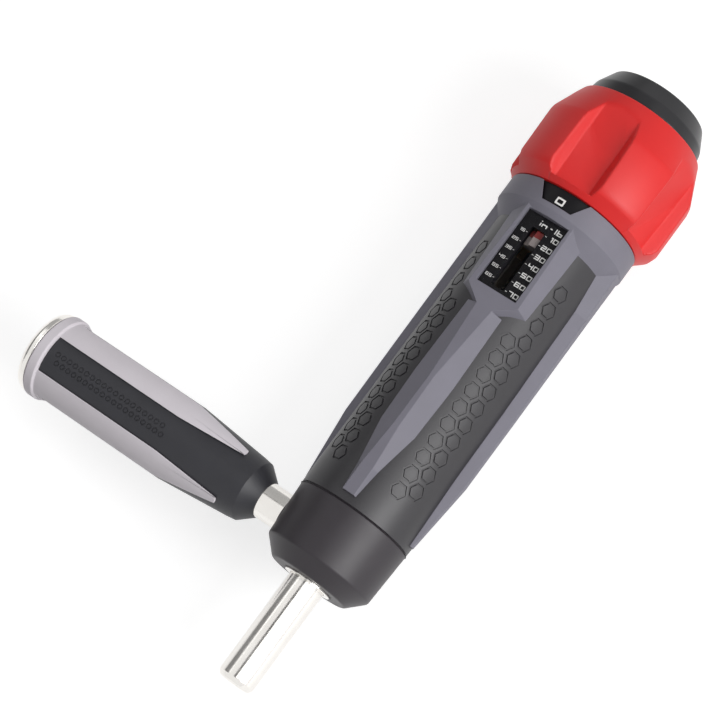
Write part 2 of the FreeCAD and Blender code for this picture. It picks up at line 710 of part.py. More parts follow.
def make_lock_cap():
    cap = body("lock_cap")
    turned(cap, "cap_turn", [
        ("0", "cap_at"), ("cap_skirt_rad - cap_skirt_wall", "cap_at"),
        ("cap_skirt_rad - cap_skirt_wall", "cap_skirt_at"), ("cap_skirt_rad", "cap_skirt_at"),
        ("cap_skirt_rad", "cap_at"), ("cap_base_rad", "cap_at"), ("cap_band_rad", "cap_band_at"),
        ("cap_end_rad + 0.3", "cap_end_at - 0.6"), ("cap_end_rad - 0.6", "cap_end_at"), ("0", "cap_end_at")])


# --- Side handle: each piece lies along +Y of its own frame and is laid along -X ---------------------

def lay_along_minus_x(piece):
    piece.Placement = Placement(Vector(0, 0, 0),
                                Rotation(Vector(0, 0, 1), 90) * Rotation(Vector(0, 1, 0), value("handle_roll")))
    piece.setExpression("Placement.Base.y", terms("handle_at"))


def make_rod():
    rod = ring("side_rod", [
        ("0", "stud_at + 0.1"), ("stud_rad - 0.8", "stud_at + 0.1"), ("stud_rad - thread_gap", "stud_at + 0.9"),
        ("stud_rad - thread_gap", "rod_at"),
        ("rod_rad", "rod_at"), ("rod_rad", "rod_end_at"), ("0", "rod_end_at")])
    lay_along_minus_x(rod)


def grip_profile(skin):
    """The grip's outer outline, from the nose cone to the flange, less a skin."""
    return [("grip_cone_rad - %s" % skin, "grip_cone_at"), ("grip_neck_rad - %s" % skin, "grip_neck_at"),
            ("grip_full_rad - %s" % skin, "grip_full_at"), ("grip_full_rad - %s" % skin, "flange_at")]


def make_side_core():
    core = ring("side_grip_core", [("rod_rad", "grip_at"), ("rod_rad + 0.3", "grip_at")] + grip_profile("grip_skin") + [
        ("grip_full_rad - grip_skin", "flange_end_at"), ("button_plug_rad", "flange_end_at"),
        ("button_plug_rad", "rod_end_at"), ("rod_rad", "rod_end_at")])
    lay_along_minus_x(core)


def make_side_overmould():
    # one shell cut back to four fingers and a flange
    grip = body("side_grip_overmould")
    slope = "(grip_full_rad - grip_neck_rad) / (grip_full_at - grip_neck_at)"
    tip_rad = "grip_neck_rad + (finger_at - grip_neck_at) * %s" % slope
    turned(grip, "side_shell", [
        (tip_rad + " - grip_skin", "finger_at"), (tip_rad, "finger_at"), ("grip_full_rad", "grip_full_at"),
        ("grip_full_rad", "flange_at"), ("flange_rad", "flange_at + 0.5"), ("flange_rad", "flange_end_at - 0.4"),
        ("flange_rad - 0.3", "flange_end_at"),
        ("grip_full_rad - grip_skin", "flange_end_at"), ("grip_full_rad - grip_skin", "grip_full_at")])
    inset = outline(sketch(grip, "inset_outline", "XY_Plane"), mirrored([
        ("finger_half_at_tip", "finger_at - 1"), ("inset_half", "finger_bend_at"), ("inset_half", "inset_end_at")]))
    extruded(grip, "insets", inset, "3 * flange_rad", cut=True, midplane=True)
    gap = outline(sketch(grip, "gap_outline", "YZ_Plane"), [
        ("finger_at - 1", "-gap_half_at_tip"), ("finger_bend_at", "-gap_half"), ("gap_end_at", "-gap_half"),
        ("gap_end_at", "gap_half"), ("finger_bend_at", "gap_half"), ("finger_at - 1", "gap_half_at_tip")])
    extruded(grip, "side_gaps", gap, "3 * flange_rad", cut=True, midplane=True)
    lay_along_minus_x(grip)


def make_end_button():
    button = body("side_end_cap")
    turned(button, "button_turn", [
        ("0", "button_plug_at"), ("button_plug_rad", "button_plug_at"), ("button_plug_rad", "flange_end_at"),
        ("button_rad", "flange_end_at"), ("button_rad", "button_edge_at - 1.2"),
        ("button_edge_rad", "button_edge_at"), ("button_flat_rad", "button_end_at"), ("0", "button_end_at")])
    lay_along_minus_x(button)


MAKERS = [make_bit_holder, make_magnet, make_snap_ring, make_bush, make_collar, make_thrust_washer, make_cam,
          make_cam_pin, make_clutch_plate, make_barrel, make_spring, make_nut, make_pointer,
          make_lead_screw, make_rear_bearing, make_core, make_overmould, make_scale, make_knob, make_dial,
          make_knob_screw, make_lock_cap, make_rod, make_side_core, make_side_overmould, make_end_button]
for make in MAKERS:
    make()
doc.recompute()

# --- Checks and files -----------------------------------------------------------------------------------

for item in doc.Objects:
    if {"Invalid", "Error"} & set(item.State):
        raise RuntimeError("%s: %s" % (item.Name, item.State))
    if item.TypeId in ("PartDesign::Pocket", "PartDesign::Groove", "PartDesign::SubtractiveLoft"):
        before, after = item.BaseFeature.Shape.Volume, item.Shape.Volume
        if after > before - 0.01:
            raise RuntimeError("%s cuts nothing" % item.Name)

pieces = [item for item in doc.Objects if item.TypeId in ("PartDesign::Body", "Part::Cylinder")]

os.makedirs("parts", exist_ok=True)
for piece in pieces:
    shape = piece.Shape
    if shape.isNull() or not shape.isValid():
        raise RuntimeError("%s has no valid shape" % piece.Label)
for piece in pieces:
    piece.Shape.exportStep(os.path.join("parts", piece.Label + ".step"))
print(len(pieces), "pieces")
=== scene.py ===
import math
import bmesh
import bpy
from mathutils import Matrix, Quaternion, Vector


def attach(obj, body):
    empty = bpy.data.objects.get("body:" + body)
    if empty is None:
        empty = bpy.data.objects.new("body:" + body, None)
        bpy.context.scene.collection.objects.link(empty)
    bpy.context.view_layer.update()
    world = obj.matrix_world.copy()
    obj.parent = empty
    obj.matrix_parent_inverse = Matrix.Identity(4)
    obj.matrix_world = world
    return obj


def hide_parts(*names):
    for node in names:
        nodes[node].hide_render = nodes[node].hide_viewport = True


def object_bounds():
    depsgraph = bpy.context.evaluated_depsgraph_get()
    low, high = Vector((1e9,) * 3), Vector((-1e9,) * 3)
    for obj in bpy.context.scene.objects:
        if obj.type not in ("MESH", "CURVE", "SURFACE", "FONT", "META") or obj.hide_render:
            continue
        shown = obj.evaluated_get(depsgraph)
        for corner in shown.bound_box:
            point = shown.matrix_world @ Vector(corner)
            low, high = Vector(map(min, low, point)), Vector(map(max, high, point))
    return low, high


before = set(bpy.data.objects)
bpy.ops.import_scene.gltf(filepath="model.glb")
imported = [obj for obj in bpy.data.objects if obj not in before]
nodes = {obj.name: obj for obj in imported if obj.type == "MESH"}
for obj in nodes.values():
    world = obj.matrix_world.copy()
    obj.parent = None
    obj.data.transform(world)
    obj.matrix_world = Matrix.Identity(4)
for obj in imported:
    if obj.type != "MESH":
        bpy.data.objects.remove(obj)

solid_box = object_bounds()

# --- Bit holder -----------------------------------------------------------------------------------
# The shank is turned from steel bar and nickel plated. Its mouth is broached as a hexagon for
# screwdriver bits, and its shoulder runs in the bush at the nose.

mm = 0.001


def turned(outline, steps=96):
    """A solid turned about the main axis from its (radius, station) corners in millimetres."""
    work = bmesh.new()
    corners = [work.verts.new((radius * mm, station * mm, 0.0)) for radius, station in outline]
    sides = zip(corners, corners[1:] + corners[:1])
    edges = [work.edges.new(side) for side in sides if side[0].co.x > 0 or side[1].co.x > 0]
    bmesh.ops.spin(work, geom=corners + edges, cent=(0, 0, 0), axis=(0, 1, 0), dvec=(0, 0, 0),
                   angle=math.tau, space=Matrix.Identity(4), steps=steps, use_merge=True,
                   use_normal_flip=False, use_duplicate=False)
    bmesh.ops.remove_doubles(work, verts=work.verts, dist=0.001 * mm)
    bmesh.ops.recalc_face_normals(work, faces=work.faces)
    return work


def pushed(work, faces, way):
    """Pushes faces out by a vector in millimetres, which leaves walls behind them."""
    grown = bmesh.ops.extrude_face_region(work, geom=faces)["geom"]
    moved = [item for item in grown if isinstance(item, bmesh.types.BMVert)]
    bmesh.ops.translate(work, verts=moved, vec=Vector(way) * mm)
    bmesh.ops.recalc_face_normals(work, faces=work.faces)
    return work


def shown(name, work):
    """The finished mesh as an object at the origin."""
    mesh = bpy.data.meshes.new(name)
    work.to_mesh(mesh)
    work.free()
    made = bpy.data.objects.new(name, mesh)
    bpy.context.scene.collection.objects.link(made)
    return made


def carved(piece, tool, operation="DIFFERENCE"):
    """Cuts a solid from a piece, joins it on, or keeps only what they share."""
    cutter = shown("cutter", tool)
    step = piece.modifiers.new("carving", "BOOLEAN")
    step.operation = operation
    step.solver = "EXACT"
    step.object = cutter
    graph = bpy.context.evaluated_depsgraph_get()
    result = bpy.data.meshes.new_from_object(piece.evaluated_get(graph))
    piece.modifiers.remove(step)
    piece.data = result
    piece.data.name = piece.name
    bpy.data.objects.remove(cutter)
    return piece


def rounded(piece, radius, corner=25.0, crease=12.0, segments=3, closed=0.0):
    """Closes gaps up to a width, rounds corners sharper than an angle, and shades the rest smooth."""
    work = bmesh.new()
    work.from_mesh(piece.data)
    bmesh.ops.dissolve_limit(work, angle_limit=math.radians(0.4), verts=work.verts, edges=work.edges)
    bmesh.ops.remove_doubles(work, verts=work.verts, dist=(closed + 0.001) * mm)
    bmesh.ops.dissolve_degenerate(work, edges=work.edges, dist=0.001 * mm)
    bmesh.ops.recalc_face_normals(work, faces=work.faces)
    work.to_mesh(piece.data)
    work.free()
    piece.data.polygons.foreach_set("use_smooth", [True] * len(piece.data.polygons))
    piece.data.set_sharp_from_angle(angle=math.radians(crease))
    edge = piece.modifiers.new("rounding", "BEVEL")
    edge.width = radius * mm
    edge.segments = segments
    edge.limit_method = "ANGLE"
    edge.angle_limit = math.radians(corner)
    edge.use_clamp_overlap = False
    edge.harden_normals = True
    return piece


class Amount:
    """A socket with a number on it that varies over a surface; sums on it become Math nodes."""

    def __init__(self, finish, socket):
        self.finish = finish
        self.socket = socket

    def __add__(self, other):
        return self.finish.sum("ADD", self, other)

    def __sub__(self, other):
        return self.finish.sum("SUBTRACT", self, other)

    def __rsub__(self, other):
        return self.finish.sum("SUBTRACT", other, self)

    def __mul__(self, other):
        return self.finish.sum("MULTIPLY", self, other)

    def __gt__(self, other):
        return self.finish.sum("GREATER_THAN", self, other)

    def __lt__(self, other):
        return self.finish.sum("LESS_THAN", self, other)

    __radd__ = __add__
    __rmul__ = __mul__


class Finish:
    """One surface: a base colour, a gloss and a metal share, to which grain and marks are added."""

    def __init__(self, name, colour, roughness, metal=0.0, **fixed):
        self.material = bpy.data.materials.new(name)
        self.material.use_nodes = True
        self.tree = self.material.node_tree
        self.skin = self.tree.nodes["Principled BSDF"]
        self.skin.inputs["Base Color"].default_value = (*colour, 1.0)
        self.skin.inputs["Roughness"].default_value = roughness
        self.skin.inputs["Metallic"].default_value = metal
        for label, number in fixed.items():
            self.skin.inputs[label.replace("_", " ")].default_value = number
        self.spot = self.node("ShaderNodeTexCoord", {}, {}).outputs["Object"]

    def node(self, kind, settings, sockets):
        """A node with its settings made first and then its sockets filled or linked."""
        made = self.tree.nodes.new(kind)
        for setting, choice in settings.items():
            setattr(made, setting, choice)
        for place, given in sockets.items():
            self.feed(made.inputs[place], given)
        return made

    def feed(self, target, given):
        """Links a socket, or sets its number or colour."""
        given = given.socket if isinstance(given, Amount) else given
        if isinstance(given, bpy.types.NodeSocket):
            self.tree.links.new(given, target)
        else:
            target.default_value = (*given, 1.0) if target.type == "RGBA" else given

    def sum(self, operation, first, second):
        made = self.node("ShaderNodeMath", {"operation": operation}, {0: first, 1: second})
        return Amount(self, made.outputs[0])

    def cloud(self, size, detail=2.0, long=(1.0, 1.0, 1.0)):
        """Soft noise whose patches are so many millimetres across, longer along some axes."""
        scale = tuple(1.0 / (size * stretch * mm) for stretch in long)
        spot = self.node("ShaderNodeMapping", {}, {"Vector": self.spot, "Scale": scale}).outputs[0]
        made = self.node("ShaderNodeTexNoise", {}, {"Vector": spot, "Scale": 1.0, "Detail": detail})
        return Amount(self, made.outputs[0])

    def mix(self, share, first, second):
        """A colour that goes from the first to the second."""
        made = self.node("ShaderNodeMix", {"data_type": "RGBA"}, {0: share, 6: first, 7: second})
        return made.outputs[2]

    def colour(self, given):
        self.feed(self.skin.inputs["Base Color"], given)

    def gloss(self, given):
        self.feed(self.skin.inputs["Roughness"], given)

    def relief(self, height, depth):
        """Raises the surface by up to a depth in millimetres where the height is 1."""
        top = self.skin.inputs["Normal"]
        under = {"Normal": top.links[0].from_socket} if top.is_linked else {}
        made = self.node("ShaderNodeBump", {}, {"Height": height, "Distance": depth * mm, **under})
        self.feed(top, made.outputs[0])

    def on(self, *pieces):
        """Gives pieces this finish."""
        for piece in pieces:
            piece.data.materials.clear()
            piece.data.materials.append(self.material)


def tone(red, green, blue):
    """A colour as it looks on a screen, 0 to 255, turned into the amounts of light."""
    return tuple((part / 255.0 + 0.055) ** 2.4 / 1.055 ** 2.4 for part in (red, green, blue))


def bright_nickel(name, long):
    """Nickel plate over fine turning marks, with the soft wear of handling."""
    finish = Finish(name, tone(222, 218, 210), 0.2, metal=1.0)
    marks = finish.cloud(0.12, 3.0, long)
    wear = finish.cloud(7.0, 4.0)
    finish.colour(finish.mix(wear, tone(226, 222, 217), tone(243, 241, 237)))
    finish.gloss(wear * 0.12 + marks * 0.1 + 0.08)
    finish.relief(marks, 0.0015)
    return finish


shank = shown("shank", turned([
    (0, 0), (4.8, 0), (5.75, 1.4), (5.75, 45.2), (4.5, 45.2), (4.5, 72.0), (3.7, 72.8), (0, 72.8)]))
mouth = bmesh.new()
laid_along = Matrix.Rotation(math.radians(-90), 4, "X")
socket_flats = 6.5
bmesh.ops.create_circle(mouth, cap_ends=True, segments=6, radius=socket_flats / math.sqrt(3) * mm,
                        matrix=Matrix.Translation((0, -mm, 0)) @ laid_along)
pushed(mouth, mouth.faces[:], (0, 14, 0))
carved(shank, mouth)
carved(shank, turned([(0, 12), (2.5, 12), (2.5, 17), (0, 17)], 48))
carved(shank, turned([(0, -0.5), (4.65, -0.5), (4.15, 0), (0, 3.4)], 48))
rounded(shank, 0.18)
bright_nickel("nickel_along_shank", (40.0, 1.0, 40.0)).on(shank)
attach(shank, "spindle")
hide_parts("bit_holder")

# --- Bit magnet and snap ring ---------------------------------------------------------------------
# A small magnet is glued at the bottom of the socket, and an open ring of spring wire sits in a
# groove of its wall. Both hold the bit.

magnet_skin = Finish("dull_magnet", tone(120, 120, 124), 0.42, metal=1.0)
magnet_skin.relief(magnet_skin.cloud(0.4, 4.0), 0.01)
magnet_skin.gloss(magnet_skin.cloud(1.2) * 0.2 + 0.32)
magnet_skin.on(nodes["bit_magnet"])


def drawn_steel(name, colour, roughness, marks):
    """Steel as it comes from the mill or the lathe, with fine marks and a little stain."""
    finish = Finish(name, colour, roughness, metal=1.0)
    stain = finish.cloud(5.0, 4.0)
    finish.colour(finish.mix(stain, tuple(0.72 * part for part in colour), colour))
    finish.gloss(stain * 0.16 + (roughness - 0.06))
    finish.relief(finish.cloud(0.2, 3.0, marks), 0.006)
    return finish


spring_steel = drawn_steel("oiled_spring_steel", tone(120, 116, 112), 0.34, (1.0, 1.0, 1.0))
spring_steel.on(nodes["bit_snap_ring"])

# --- Nose bush ------------------------------------------------------------------------------------
# A plated steel bush is pressed into the collar. The bit holder turns in it, and its flange shows
# as a bright ring round the shank.

nose_ring = shown("nose_ring", turned([
    (5.87, 34.7), (7.6, 34.7), (7.6, 36.2), (7.0, 36.2), (7.0, 45.0), (5.87, 45.0)]))
rounded(nose_ring, 0.16)
bright_nickel("nickel_round_nose", (1.0, 1.0, 1.0)).on(nose_ring)
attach(nose_ring, "grip")
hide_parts("nose_bush")

# --- Nose collar ----------------------------------------------------------------------------------
# The collar is an aluminium turning with a black coating. It closes the front of the grip, and the
# side handle screws into a tapped hole in its left side.

handle_station = 47.7
collar = shown("collar", turned([
    (7.0, 36.2), (7.65, 36.2), (7.65, 35.6), (8.1, 35.2), (12.55, 35.2), (17.35, 40.1), (18.2, 57.25),
    (18.02, 57.4), (14.5, 57.4), (14.5, 54.2), (4.6, 54.2), (4.6, 45.3), (7.0, 45.3)], 160))


def rod_shaped(radius, start, end, steps=64):
    """A plain bar on the side handle's axis, from one distance to another from the main axis."""
    work = turned([(0, start), (radius, start), (radius, end), (0, end)], steps)
    bmesh.ops.transform(work, matrix=on_handle_axis, verts=work.verts)
    return work


on_handle_axis = Matrix.Translation((0, handle_station * mm, 0)) @ Matrix.Rotation(math.radians(90), 4, "Z")
carved(collar, rod_shaped(5.85, 16.5, 22))
carved(collar, rod_shaped(4.0, 9.2, 17))
rounded(collar, 0.5)
coating = Finish("black_coating", tone(38, 34, 39), 0.42)
haze = coating.cloud(6.0, 4.0)
coating.colour(coating.mix(haze, tone(36, 31, 36), tone(45, 40, 46)))
coating.gloss(haze * 0.1 + 0.42)
coating.relief(coating.cloud(0.22, 2.0), 0.008)
coating.on(collar)
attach(collar, "grip")
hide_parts("nose_collar")

# --- Clutch ---------------------------------------------------------------------------------------
# The toothed cam is pinned to the bit holder and the toothed plate is keyed to the barrel. Both are
# hardened steel, dark from the oil bath, and the cam runs on a flat thrust washer.

hard_steel = drawn_steel("oil_hardened_steel", tone(96, 92, 92), 0.3, (1.0, 1.0, 1.0))
hard_steel.on(*[nodes[name] for name in ("thrust_washer", "clutch_cam", "cam_pin", "clutch_plate")])

# --- Barrel, bearing and lead screw ---------------------------------------------------------------
# A steel tube holds the spring. The lead screw is turned by the knob and is held in a bearing plate
# at the tube's end; the knob is clamped to it by a screw and a washer.

mill_steel = drawn_steel("turned_steel", tone(176, 174, 172), 0.3, (30.0, 1.0, 30.0))
for name in ("barrel", "bearing_plate", "lead_screw", "knob_washer", "knob_screw"):
    mill_steel.on(nodes[name])

# --- Main spring ----------------------------------------------------------------------------------
# A die spring of rectangular wire presses the clutch plate on to the cam. Its length sets the
# torque at which the teeth ride over.

spring_steel.on(nodes["main_spring"])

# --- Adjusting nut and rear washer ----------------------------------------------------------------
# The brass nut travels on the lead screw and loads the spring. A brass washer takes the thrust of
# the screw's flange.

brass = drawn_steel("turned_brass", tone(205, 170, 98), 0.28, (30.0, 1.0, 30.0))
brass.on(nodes["adjusting_nut"], nodes["rear_washer"])

# --- Pointer --------------------------------------------------------------------------------------
# The pointer is a moulded saddle on the nut. Its tip shows through the scale's slot: its front part
# is left pale, and its end is dipped red, whose edge is read against the numbers.


def block(low, high):
    """A box between two corners in millimetres."""
    work = bmesh.new()
    low, high = Vector(low), Vector(high)
    place = Matrix.Translation((low + high) / 2 * mm) @ Matrix.Diagonal((*((high - low) * mm), 1.0))
    bmesh.ops.create_cube(work, size=1.0, matrix=place)
    return work


pointer = shown("pointer_saddle", block((-3.1, 148.2, 11.4), (3.1, 153.2, 15.4)))
carved(pointer, block((-1.3, 148.2, 15.0), (1.3, 153.2, 17.4)), "UNION")
carved(pointer, turned([(0, 147), (12.65, 147), (12.65, 154), (0, 154)]))
rounded(pointer, 0.15)
pointer_skin = Finish("dipped_pointer", tone(150, 24, 22), 0.4)
station = pointer_skin.node("ShaderNodeSeparateXYZ", {}, {0: pointer_skin.spot}).outputs[1]
dipped = Amount(pointer_skin, station) > 151.0 * mm
pointer_skin.colour(pointer_skin.mix(dipped, tone(150, 140, 138), tone(120, 22, 20)))
pointer_skin.gloss(pointer_skin.cloud(1.5) * 0.15 + 0.33)
pointer_skin.relief(pointer_skin.cloud(0.2), 0.006)
pointer_skin.on(pointer)
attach(pointer, "setting")
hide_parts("pointer")

# --- Grip core ------------------------------------------------------------------------------------
# The first shot of the grip is hard black plastic moulded over the barrel. Where it stays bare it
# carries two staggered rows of hexagon outlines on each of its four panels.

core_radius = 18.3
core = shown("core", turned([
    (14.5, 57.45), (18.02, 57.45), (18.2, 57.6), (core_radius, 60.1), (core_radius, 160.9),
    (14.5, 160.9)], 192))
carved(core, block((-3.5, 127.1, 10), (3.5, 156.8, 20)))
carved(core, block((-6.8, 131.0, 17.9), (6.8, 157.3, 20)))

cell_flats = 4.2
groove_width = 0.5
groove_depth = 0.4
cell_pitch = 5.85
cell_rows = ((34.0, 68.8, 10), (48.8, 71.7, 13))


def hexagon_groove(work, angle, station, round_radius=core_radius, flats=cell_flats, width=groove_width):
    """One hexagon outline standing on a round piece at an angle from its top."""
    place = Matrix.Rotation(math.radians(angle), 4, "Y") @ Matrix.Translation(
        (0, station * mm, (round_radius - groove_depth) * mm)) @ Matrix.Rotation(math.radians(30), 4, "Z")
    edges = []
    for flats in (flats + width, flats - width):
        loop = bmesh.ops.create_circle(work, segments=6, radius=flats / math.sqrt(3) * mm, matrix=place)
        edges += list({edge for corner in loop["verts"] for edge in corner.link_edges})
    band = bmesh.ops.bridge_loops(work, edges=edges)["faces"]
    grown = bmesh.ops.extrude_face_region(work, geom=band)["geom"]
    moved = [item for item in grown if isinstance(item, bmesh.types.BMVert)]
    outward = place.to_3x3() @ Vector((0, 0, 2 * groove_depth * mm))
    bmesh.ops.translate(work, verts=moved, vec=outward)


honeycomb = bmesh.new()
for row_angle, first_station, count in cell_rows:
    for angle in (row_angle, -row_angle, 180 - row_angle, 180 + row_angle):
        for index in range(count):
            hexagon_groove(honeycomb, angle, first_station + index * cell_pitch)
bmesh.ops.recalc_face_normals(honeycomb, faces=honeycomb.faces)
carved(core, honeycomb)
rounded(core, 0.06, corner=40.0, segments=1)
core_plastic = Finish("black_grip_plastic", tone(32, 30, 34), 0.4, Specular_IOR_Level=0.6)
bloom = core_plastic.cloud(8.0, 3.0)
core_plastic.colour(core_plastic.mix(bloom, tone(26, 24, 28), tone(36, 34, 39)))
core_plastic.gloss(bloom * 0.1 + 0.4)
core_plastic.relief(core_plastic.cloud(0.3), 0.01)
core_plastic.on(core)
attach(core, "grip")
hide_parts("grip_core")

# --- Grip overmould -------------------------------------------------------------------------------
# The second shot is grey rubber: a spine above and below, a rib on each side, the frame round the
# scale, and the shoulder and rim that hold the dial.

overmould_root = 17.6


def lofted(sections):
    """A solid ruled from loop to loop of corners in millimetres."""
    work = bmesh.new()
    loops = []
    for section in sections:
        corners = [work.verts.new(Vector(corner) * mm) for corner in section]
        loops.append([work.edges.new(side) for side in zip(corners, corners[1:] + corners[:1])])
    for near, far in zip(loops, loops[1:]):
        bmesh.ops.bridge_loops(work, edges=near + far)
    for end in (loops[0], loops[-1]):
        bmesh.ops.contextual_create(work, geom=end)
    bmesh.ops.recalc_face_normals(work, faces=work.faces)
    return work


def both_sides(half):
    """A symmetric loop from the corners of its right half, (across, along)."""
    return half + [(-across, along) for across, along in reversed(half)]


def rib(stations, turn):
    """A faceted rib from (station, foot half width, crest half width, crest height) at each bend."""
    sections = []
    for station, foot, crest, top in stations:
        knee = math.sqrt((core_radius + 0.1) ** 2 - foot ** 2)
        half = both_sides([(foot, 15.0), (foot, knee), (crest, top)])
        sections.append([(across, station, height) for across, height in half])
    work = lofted(sections)
    turned_by = Matrix.Rotation(math.radians(turn), 3, "Y")
    bmesh.ops.rotate(work, verts=work.verts, cent=(0, 0, 0), matrix=turned_by)
    return work


spine = [(60.1, 2.3, 2.0, 19.4), (69.2, 3.3, 1.9, 19.8), (83.2, 5.8, 0.9, 20.5), (100.2, 6.3, 0.7, 20.8)]
side = [(59.7, 1.1, 0.9, 19.1), (82.2, 2.6, 1.2, 21.3), (106.2, 2.7, 1.2, 21.5), (142.2, 4.0, 1.7, 21.5),
        (160.0, 7.2, 2.6, 21.4)]
overmould = shown("overmould", turned([
    (17.0, 153.9), (18.3, 153.9), (21.75, 159.2), (21.75, 166.4), (20.85, 166.4), (20.85, 160.9),
    (17.0, 160.9)], 160))
carved(overmould, rib(spine + [(125.3, 5.85, 2.6, 19.72)], 0), "UNION")
carved(overmould, rib(spine + [(160.0, 7.6, 3.6, 21.0)], 180), "UNION")
carved(overmould, rib(side, 90), "UNION")
carved(overmould, rib(side, -90), "UNION")
frame_foot = both_sides([(4.2, 123.3), (11.0, 129.3), (12.2, 159.6)])
frame_face = both_sides([(2.6, 125.3), (8.6, 129.7), (7.7, 159.6)])
carved(overmould, lofted([[(*corner, 14.5) for corner in frame_foot],
                          [(*corner, 19.7) for corner in frame_face]]), "UNION")
carved(overmould, turned([
    (0, 50), (overmould_root, 50), (overmould_root, 160.9), (20.85, 160.9), (20.85, 168), (0, 168)], 160))
carved(overmould, block((-6.8, 131.0, 15.0), (6.8, 157.3, 25.0)))
notch = lofted([[(*corner, height) for corner in both_sides([(4.9, 160.95), (8.4, 166.9)])]
                for height in (15.0, 25.0)])
carved(overmould, notch)
rounded(overmould, 0.14, corner=18.0, crease=9.0, segments=2, closed=0.15)
grey_rubber = Finish("grey_rubber", tone(120, 118, 129), 0.55, Specular_IOR_Level=0.35)
dust = grey_rubber.cloud(11.0, 4.0)
grey_rubber.colour(grey_rubber.mix(dust, tone(113, 111, 121), tone(128, 126, 137)))
grey_rubber.gloss(dust * 0.14 + 0.47)
grey_rubber.relief(grey_rubber.cloud(0.28), 0.012)
grey_rubber.on(overmould)
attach(overmould, "grip")
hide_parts("grip_overmould")

# --- Scale plate ----------------------------------------------------------------------------------
# A thin black plate with a slot over the pointer. Its numbers are printed in white: tens at the
# right of the slot, fives in small figures at the left, and the unit at the top.

plate_top = 18.3
scale_plate = shown("scale_sheet", block((-6.8, 131.0, 17.9), (6.8, 157.3, plate_top)))
carved(scale_plate, block((-3.0, 132.4, 17.0), (1.4, 153.2, 19.0)))
rounded(scale_plate, 0.05, segments=2)
printed_black = Finish("printed_black", tone(20, 19, 22), 0.38, Specular_IOR_Level=0.15)
printed_black.gloss(printed_black.cloud(3.0) * 0.12 + 0.3)
printed_black.relief(printed_black.cloud(0.3), 0.001)
printed_black.on(scale_plate)
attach(scale_plate, "grip")
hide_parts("scale_plate")

ink_thick = 0.04


figure_cells = {
    "0": "### #.# #.# #.# ###", "1": "## .# .# .# .#", "2": "### ..# ### #.. ###",
    "3": "### ..# ### ..# ###", "4": "#.# #.# ### ..# ..#", "5": "### #.. ### ..# ###",
    "6": "### #.. ### #.# ###", "7": "### ..# ..# ..# ..#", "8": "### #.# ### #.# ###",
    "9": "### #.# ### ..# ###", "i": "# . # # #", "n": "... ... ### #.# #.#", "l": "# # # # #",
    "b": "#.. #.. ### #.# ###", "-": ". . # . .", " ": ". . . . ."}


def lettered(words, end, along, tall, wide=1.0, weight=0.2):
    """Square figures of even strokes as a thin mesh that ends at a place, with their top to the knob."""
    work = bmesh.new()
    stroke = weight * tall
    gap = (tall - 3 * stroke) / 2
    space = 0.18 * tall
    rows = [stroke, gap, stroke, gap, stroke]
    start = 0.0
    for sign in words:
        cells = figure_cells[sign].split()
        middle_wide = wide * tall - 2 * stroke
        columns = {1: [stroke], 2: [stroke, stroke], 3: [stroke, middle_wide, stroke]}[len(cells[0])]
        if sign == "-":
            columns = [2.2 * stroke]
        for row, line in enumerate(cells):
            for column, mark in enumerate(line):
                if mark == "#":
                    middle = (start + sum(columns[:column]) + columns[column] / 2,
                              tall / 2 - sum(rows[:row]) - rows[row] / 2, ink_thick)
                    size = Matrix.Diagonal((columns[column] * mm, rows[row] * mm, 1.0, 1.0))
                    bmesh.ops.create_grid(work, x_segments=1, y_segments=1, size=0.5,
                                          matrix=Matrix.Translation(Vector(middle) * mm) @ size)
        start += sum(columns) + space
    bmesh.ops.remove_doubles(work, verts=work.verts, dist=0.002 * mm)
    shift = Vector((end - start + space, along, 0)) * mm
    bmesh.ops.translate(work, verts=work.verts, vec=shift)
    pushed(work, work.faces[:], (0, 0, -ink_thick))
    half_ink = 0.5 * ink_thick * mm
    upright = [edge for edge in work.edges
               if abs(edge.verts[0].co.z - edge.verts[1].co.z) > half_ink and edge.calc_face_angle(0) > 1.0]
    bmesh.ops.bevel(work, geom=upright, offset=0.45 * stroke * mm, segments=2, profile=0.5, affect="EDGES")
    mesh = bpy.data.meshes.new("words")
    work.to_mesh(mesh)
    work.free()
    return mesh


def added(work, mesh, place=Matrix.Identity(4)):
    """Adds a mesh to the work at a place."""
    mesh.transform(place)
    work.from_mesh(mesh)
    bpy.data.meshes.remove(mesh)
    return work


figure_pitch = 3.3
first_ten_at = 152.6
first_five_at = 150.95
on_plate = Matrix.Translation((0, 0, plate_top * mm))
print_work = bmesh.new()


def ticked(across, along, wide, tall):
    """A short printed line beside the slot."""
    size = Matrix.Diagonal((wide * mm, tall * mm, ink_thick * mm, 1.0))
    middle = Vector((across, along, plate_top + ink_thick / 2)) * mm
    bmesh.ops.create_cube(print_work, size=1.0, matrix=Matrix.Translation(middle) @ size)


added(print_work, lettered("in - lb", 5.9, 155.3, 1.75, wide=1.0), on_plate)
for index in range(7):
    tens_at = first_ten_at - figure_pitch * index
    added(print_work, lettered(str(10 + 10 * index), 6.2, tens_at, 1.55), on_plate)
    ticked(2.05, tens_at, 0.6, 0.16)
for index in range(6):
    fives_at = first_five_at - figure_pitch * index
    added(print_work, lettered(str(15 + 10 * index), -4.1, fives_at, 0.95, weight=0.17), on_plate)
    ticked(-3.45, fives_at, 0.5, 0.13)
bmesh.ops.remove_doubles(print_work, verts=print_work.verts, dist=0.0005 * mm)
scale_print = shown("scale_print", print_work)
white_ink = Finish("white_ink", tone(236, 236, 234), 0.45)
white_ink.gloss(white_ink.cloud(0.8) * 0.2 + 0.35)
white_ink.relief(white_ink.cloud(0.1), 0.003)
white_ink.on(scale_print)
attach(scale_print, "grip")

# --- Scale window ---------------------------------------------------------------------------------
# A clear acrylic pane lies over the plate, almost flush with the frame.

